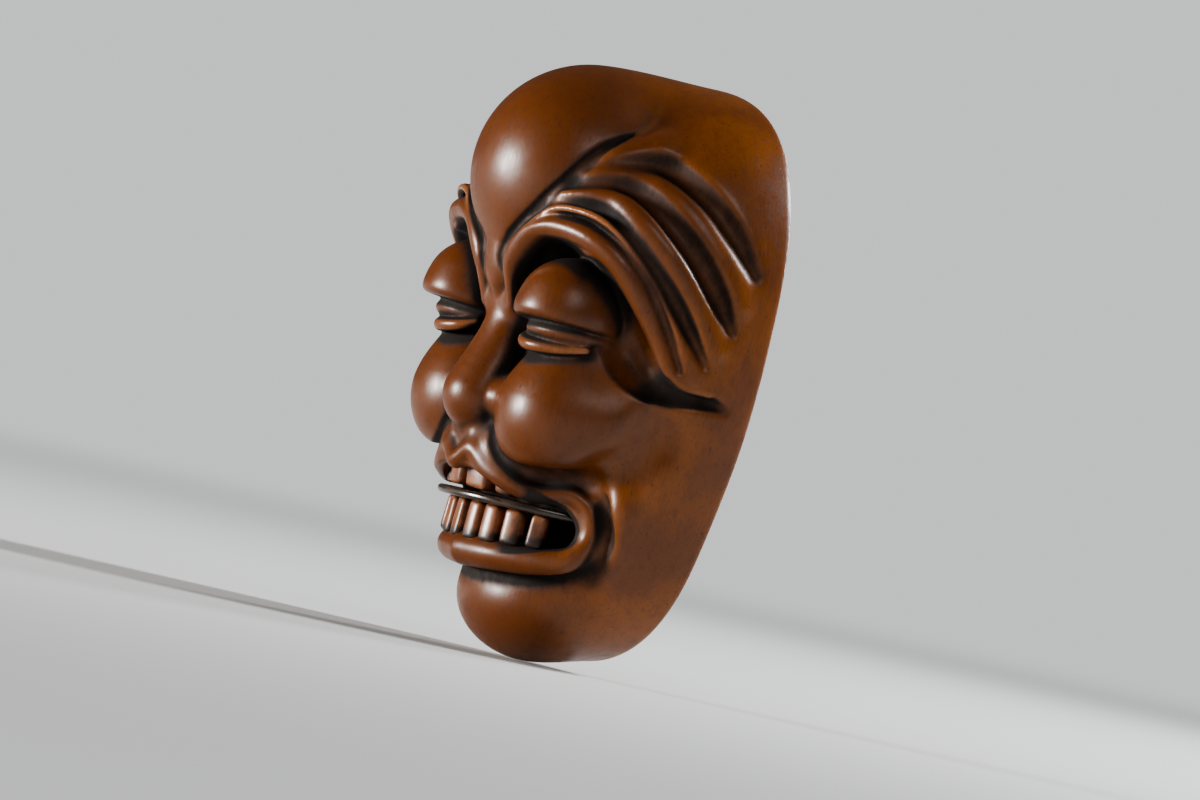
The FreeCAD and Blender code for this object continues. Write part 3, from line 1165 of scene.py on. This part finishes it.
        # How sunk each point is, felt as how much clay closes round it: darkened as painted shade, partly
        # stain.
        sunk = np.zeros(len(spots))
        for reach, share in self.sunk_reaches:
            sunk += share * np.clip((reach - clay.sample(spots + out * reach)) / reach, 0.0, 1.0)
        proud = np.zeros(len(spots))
        for reach, share in self.proud_reaches:
            proud += share * np.clip((reach + clay.sample(spots - out * reach)) / reach, 0.0, 1.0)
        # Painted shade in the open mouth, deep behind the lips.
        inside = ease((spots[:, 1] + 16.0) / 3.0) * (spots[:, 1] < self.mouth_end + 0.5)
        wide, tall = self.mouth_shade_size
        mouth = np.sqrt((spots[:, 0] / wide) ** 2 + ((spots[:, 2] - self.opening.centre[2]) / tall) ** 2)
        sunk = np.maximum(sunk, inside * ease((1.06 - mouth) / 0.1))
        keep_number(mesh, "shade_and_stain", sunk)
        keep_number(mesh, "ridge", proud)
        keep_number(mesh, "bare", ease((0.8 - self._inside(*spots.T)) / 0.6))


@dataclass(frozen=True)
class Peg:
    """Where one tooth stands and how it differs from its plain peg."""

    aside: float  # distance from the middle of the face
    width: float
    sunk: float  # how far it stands behind its plain peg
    trim: float  # how much shorter its root is


@dataclass
class Teeth:
    """Both rows of teeth, each a worn peg turned to follow the arch of its jaw."""

    arch_half_width: float = 10.0
    arch_half_depth: float = 8.6
    arch_centre: float = -7.6
    depth: float = 1.9
    edge: float = 0.42
    most_lean: float = 0.10
    most_twist: float = 0.12
    most_chip: float = 0.25
    taper: tuple[float, float] = (0.10, 0.22)
    belly: float = 0.16
    # How far from the gum, and how wide and deep the dark of the mouth is, for the teeth's painted shade.
    gum_reach: float = 0.9
    dark_half_width: float = 9.4
    dark_half_depth: float = 7.6
    rows: dict[Jaw, tuple[Peg, ...]] = field(
        default_factory=lambda: {
            Jaw.UPPER: (Peg(1.75, 3.0, 0.0, 0.8), Peg(4.9, 2.4, 0.3, 1.2), Peg(7.5, 1.7, 2.2, 2.8)),
            Jaw.LOWER: (
                Peg(1.2, 1.9, 1.0, 1.3), Peg(3.5, 2.0, 1.0, 1.4),
                Peg(5.7, 2.0, 1.1, 1.6), Peg(7.6, 1.7, 1.2, 1.8),
            ),
        }
    )

    def build(self, shell: MaskShell, material: bpy.types.Material) -> None:
        """Makes every tooth in place of its plain peg.

        Args:
            shell: The shell the teeth stand in.
            material: The teeth's finish.
        """
        wear = np.random.default_rng(7)
        for jaw, row in self.rows.items():
            for side in Side:
                for number, peg in enumerate(row, start=1):
                    place = f"{side.name.lower()}_{number}"
                    node = f"{jaw.value}_tooth_{place}"
                    mesh = self._tooth(jaw, side, peg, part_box(node), wear)
                    self._darken(mesh, shell.clay)
                    place_mesh(f"{jaw.value}_peg_{place}", mesh, node, material)

    def _tooth(self, jaw: Jaw, side: Side, peg: Peg, box: Any, wear: np.random.Generator) -> bpy.types.Mesh:
        """Shapes one tooth from a block.

        Args:
            jaw: Its row.
            side: Its side of the face.
            peg: Where it stands and how it differs from its plain peg.
            box: The lowest and highest corner of its plain peg, in metres.
            wear: Where its small differences come from.

        Returns:
            The tooth's mesh, in place.
        """
        low, high = Vector(box[0]) / MM, Vector(box[1]) / MM
        if jaw is Jaw.UPPER:
            high.z -= peg.trim
        else:
            low.z += peg.trim
        tall = high.z - low.z
        bm = bmesh.new()
        bmesh.ops.create_cube(bm, size=1.0)
        bmesh.ops.scale(bm, vec=(peg.width * 0.97, self.depth, tall), verts=bm.verts)
        bmesh.ops.bevel(
            bm, geom=bm.edges[:], offset=self.edge, offset_type="OFFSET", affect="EDGES",
            segments=3, profile=0.5, material=-1,
        )
        bmesh.ops.subdivide_edges(bm, edges=bm.edges[:], cuts=2, use_grid_fill=True)
        lean, twist, chip = (
            wear.uniform(-most, most) for most in (self.most_lean, self.most_twist, self.most_chip)
        )
        self._wear(bm, -1.0 if jaw is Jaw.UPPER else 1.0, peg.width, tall, lean, chip)
        bmesh.ops.smooth_vert(
            bm, verts=bm.verts, factor=0.4, use_axis_x=True, use_axis_y=True, use_axis_z=True
        )
        share = peg.aside / self.arch_half_width
        back = math.sqrt(1.0 - share * share)
        turn = side.value * math.atan2(self.arch_half_depth * share, self.arch_half_width * back) + twist
        forward = self.arch_centre - (self.arch_half_depth - peg.sunk) * back
        place = Matrix.Translation((side.value * peg.aside, forward, (low.z + high.z) / 2))
        bmesh.ops.transform(bm, matrix=place @ Matrix.Rotation(turn, 4, "Z"), verts=bm.verts)
        bmesh.ops.scale(bm, vec=(MM, MM, MM), verts=bm.verts)
        bmesh.ops.recalc_face_normals(bm, faces=bm.faces)
        return smooth_mesh(bm, "tooth")

    def _wear(
        self, bm: bmesh.types.BMesh, tip: float, width: float, tall: float, lean: float, chip: float
    ) -> None:
        """Tapers a tooth towards its tip, rounds its front and tilts its tip.

        Args:
            bm: The tooth, upright about its middle.
            tip: Which way its tip points, -1 down or 1 up.
            width: Its width.
            tall: Its height.
            lean: How far its tip stands aside.
            chip: How much higher one corner of its tip is.
        """
        narrower, thinner = self.taper
        for v in bm.verts:
            share = tip * v.co.z / tall + 0.5
            v.co.x *= 1.0 - narrower * share * share
            v.co.y *= 1.0 - thinner * share
            v.co.x += lean * share
            v.co.y -= self.belly * math.cos(v.co.x / width * math.pi) * (v.co.y < 0)
            v.co.z += tip * chip * share * v.co.x / width

    def _darken(self, mesh: bpy.types.Mesh, clay: Clay) -> None:
        """Keeps painted shade for each point of a tooth: near the gum, behind the arch in the dark of the
        mouth, on the lower teeth and towards the mouth's corners.

        Args:
            mesh: The tooth.
            clay: The shell it stands in.
        """
        spots = spots_of(mesh)
        x, y, z = spots.T
        near = ease(1.0 - clay.sample(spots) / self.gum_reach)
        arch = np.sqrt(np.clip(1 - (x / self.dark_half_width) ** 2, 0, 1))
        behind = ease((y - self.arch_centre + self.dark_half_depth * arch) / 0.8)
        # More painted shade on the lower teeth and on the teeth towards the mouth's corners.
        low = ease((-14.6 - z) / 4.0) * 0.35
        deep = ease((np.abs(x) - 2.0) / 6.0) * 0.4
        keep_number(mesh, "shade_and_stain", np.maximum(near * 0.8, behind) + low + deep)


@dataclass
class Tongue:
    """A thin horn blade lying on the lower teeth, with its edge rounded."""

    half_width: float = 10.2
    reach: float = 10.3
    middle: float = -7.6
    back: float = -9.1
    low: float = -14.68
    thick: float = 0.76
    round_segments: int = 120
    insets: tuple[float, ...] = (0.5, 1.2, 1.8, 2.2)
    edge: float = 0.3
    sharp: float = 1.0

    def build(self, material: bpy.types.Material) -> None:
        """Makes the blade.

        Args:
            material: The blade's finish.
        """
        bm = bmesh.new()
        bmesh.ops.create_circle(bm, cap_ends=True, segments=self.round_segments, radius=1.0)
        bmesh.ops.scale(bm, vec=(self.half_width, self.reach, 1.0), verts=bm.verts)
        for width in self.insets:
            middle = max(bm.faces, key=lambda f: f.calc_area())
            bmesh.ops.inset_region(bm, faces=[middle], thickness=width, use_even_offset=True)
        raised = bmesh.ops.extrude_face_region(bm, geom=bm.faces[:])
        verts = [g for g in raised["geom"] if isinstance(g, bmesh.types.BMVert)]
        bmesh.ops.translate(bm, vec=(0, 0, self.thick), verts=verts)
        rim = [e for e in bm.edges if len(e.link_faces) == 2 and e.calc_face_angle(0.0) > self.sharp]
        bmesh.ops.bevel(
            bm, geom=rim, offset=self.edge, offset_type="OFFSET", affect="EDGES",
            segments=4, profile=0.5, material=-1,
        )
        bmesh.ops.translate(bm, vec=(0, self.middle, self.low), verts=bm.verts)
        cut = bmesh.ops.bisect_plane(
            bm, geom=bm.verts[:] + bm.edges[:] + bm.faces[:],
            plane_co=(0, self.back, 0), plane_no=(0, 1, 0), clear_outer=True,
        )
        edges = [g for g in cut["geom_cut"] if isinstance(g, bmesh.types.BMEdge)]
        bmesh.ops.holes_fill(bm, edges=edges, sides=0)
        bmesh.ops.recalc_face_normals(bm, faces=bm.faces)
        bmesh.ops.scale(bm, vec=(MM, MM, MM), verts=bm.verts)
        place_mesh("horn_tongue", smooth_mesh(bm, "tongue_blade"), "tongue", material)


@dataclass
class CordBar:
    """The bar across the open back, whose plain shape stays and takes the wood's finish."""

    node: str = "cord_bar"

    def dress(self, frame: dict[str, Any], material: bpy.types.Material) -> None:
        """Gives the bar its finish.

        Args:
            frame: The loaded frame.
            material: The finish.
        """
        bar = frame["nodes"][self.node]
        bar.data.materials.clear()
        bar.data.materials.append(material)
        LOG.info("%s: %d faces", self.node, len(bar.data.polygons))


@dataclass(frozen=True)
class Lamp:
    """A soft light: its direction as shares to the camera's right, up and towards the camera."""

    name: str
    towards: Point
    away: float  # metres
    size: float  # metres
    power: float  # watts
    colour: Point


@dataclass
class Studio:
    """The pale floor, the soft lights and the camera, which is placed in millimetres."""

    azimuth: float = 60.0
    roll: float = 13.0
    aim_aside: float = -4.07
    aim_level: float = -3.16
    away: float = 1203.0
    lens: float = 390.0
    floor_half: float = 6.0
    cast: float = 0.09
    look: str = "AgX - Medium High Contrast"
    lamps: tuple[Lamp, ...] = (
        Lamp("key", (-0.96, 0.04, 0.14), 0.50, 0.13, 3.8, (1.0, 0.98, 0.95)),
        Lamp("edge", (0.76, 0.56, -0.22), 0.55, 0.15, 4.2, (0.96, 0.98, 1.0)),
        Lamp("rim", (0.54, 0.19, -0.82), 0.60, 0.12, 3.0, (0.96, 0.98, 1.0)),
        Lamp("fill", (0.12, 0.50, 0.85), 0.80, 0.40, 1.1, (1.0, 0.98, 0.96)),
    )

    def axes(self) -> tuple[Vector, Vector, Vector]:
        """Works out the camera's directions before its roll.

        Returns:
            The directions to its right, up and towards it.
        """
        turn = math.radians(self.azimuth)
        return (
            Vector((math.cos(turn), math.sin(turn), 0)),
            Vector((0, 0, 1)),
            Vector((math.sin(turn), -math.cos(turn), 0)),
        )

    def build(self, floor_level: float, material: bpy.types.Material) -> None:
        """Makes the floor, the lights and the camera.

        Args:
            floor_level: The floor's height in metres.
            material: The floor's finish.
        """
        self._floor(floor_level, material)
        for lamp in self.lamps:
            self._light(lamp)
        self._world(Paper.sky, Paper.glow)
        self._camera()

    def _floor(self, level: float, material: bpy.types.Material) -> None:
        """Lays a wide plain floor.

        Args:
            level: Its height in metres.
            material: Its finish.
        """
        bm = bmesh.new()
        bmesh.ops.create_grid(bm, x_segments=8, y_segments=8, size=self.floor_half)
        bmesh.ops.translate(bm, vec=(0, 0, level), verts=bm.verts)
        mesh = bpy.data.meshes.new("floor")
        bm.to_mesh(mesh)
        bm.free()
        mesh.materials.append(material)
        floor = bpy.data.objects.new("floor", mesh)
        bpy.context.scene.collection.objects.link(floor)
        floor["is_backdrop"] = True

    def _light(self, lamp: Lamp) -> None:
        """Hangs one soft light.

        Args:
            lamp: The light.
        """
        right, up, near = self.axes()
        aside, above, ahead = lamp.towards
        direction = (right * aside + up * above + near * ahead).normalized()
        light = bpy.data.lights.new(lamp.name, "AREA")
        light.shape = "DISK"
        light.size = lamp.size
        light.energy = lamp.power
        light.color = lamp.colour
        turn = direction.to_track_quat("Z", "Y").to_matrix().to_4x4()
        stand = bpy.data.objects.new(lamp.name, light)
        stand.matrix_world = Matrix.Translation(direction * lamp.away) @ turn
        bpy.context.scene.collection.objects.link(stand)

    def _world(self, colour: Colour, seen: float) -> None:
        """Surrounds the scene with an even pale backdrop.

        Args:
            colour: Its colour.
            seen: How bright it looks.
        """
        world = bpy.data.worlds.new("studio")
        world.use_nodes = True
        tree = world.node_tree
        back = tree.nodes["Background"]
        back.inputs["Color"].default_value = colour
        ray = tree.nodes.new("ShaderNodeLightPath")
        level = tree.nodes.new("ShaderNodeMapRange")
        level.inputs["To Min"].default_value = self.cast
        level.inputs["To Max"].default_value = seen
        tree.links.new(ray.outputs["Is Camera Ray"], level.inputs["Value"])
        tree.links.new(level.outputs["Result"], back.inputs["Strength"])
        bpy.context.scene.world = world
        bpy.context.scene.view_settings.look = self.look

    def _camera(self) -> None:
        """Stands the camera at the mask's left front, rolled as a hand-held view is."""
        right, up, near = self.axes()
        roll = math.radians(self.roll)
        across = right * math.cos(roll) + up * math.sin(roll)
        upright = up * math.cos(roll) - right * math.sin(roll)
        spot = (right * self.aim_aside + up * self.aim_level + near * self.away) * MM
        turn = Matrix((across, upright, near)).transposed().to_4x4()
        camera = bpy.data.cameras.new("camera")
        camera.lens = self.lens
        camera.clip_start = 0.01
        camera.clip_end = 50.0
        stand = bpy.data.objects.new("camera", camera)
        stand.matrix_world = Matrix.Translation(spot) @ turn
        bpy.context.scene.collection.objects.link(stand)
        bpy.context.scene.camera = stand


def main() -> None:
    """Builds every piece in order."""
    logging.basicConfig(level=logging.INFO, format="%(name)s: %(message)s")
    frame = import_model()
    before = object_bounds()
    boxwood = Boxwood().material()
    shell = MaskShell()
    shell.build(boxwood)
    Teeth().build(shell, ToothWood().material())
    Tongue().build(DarkHorn().material())
    CordBar().dress(frame, boxwood)
    Studio().build(before[0][2], Paper().material())


if __name__ == "__main__":
    main()
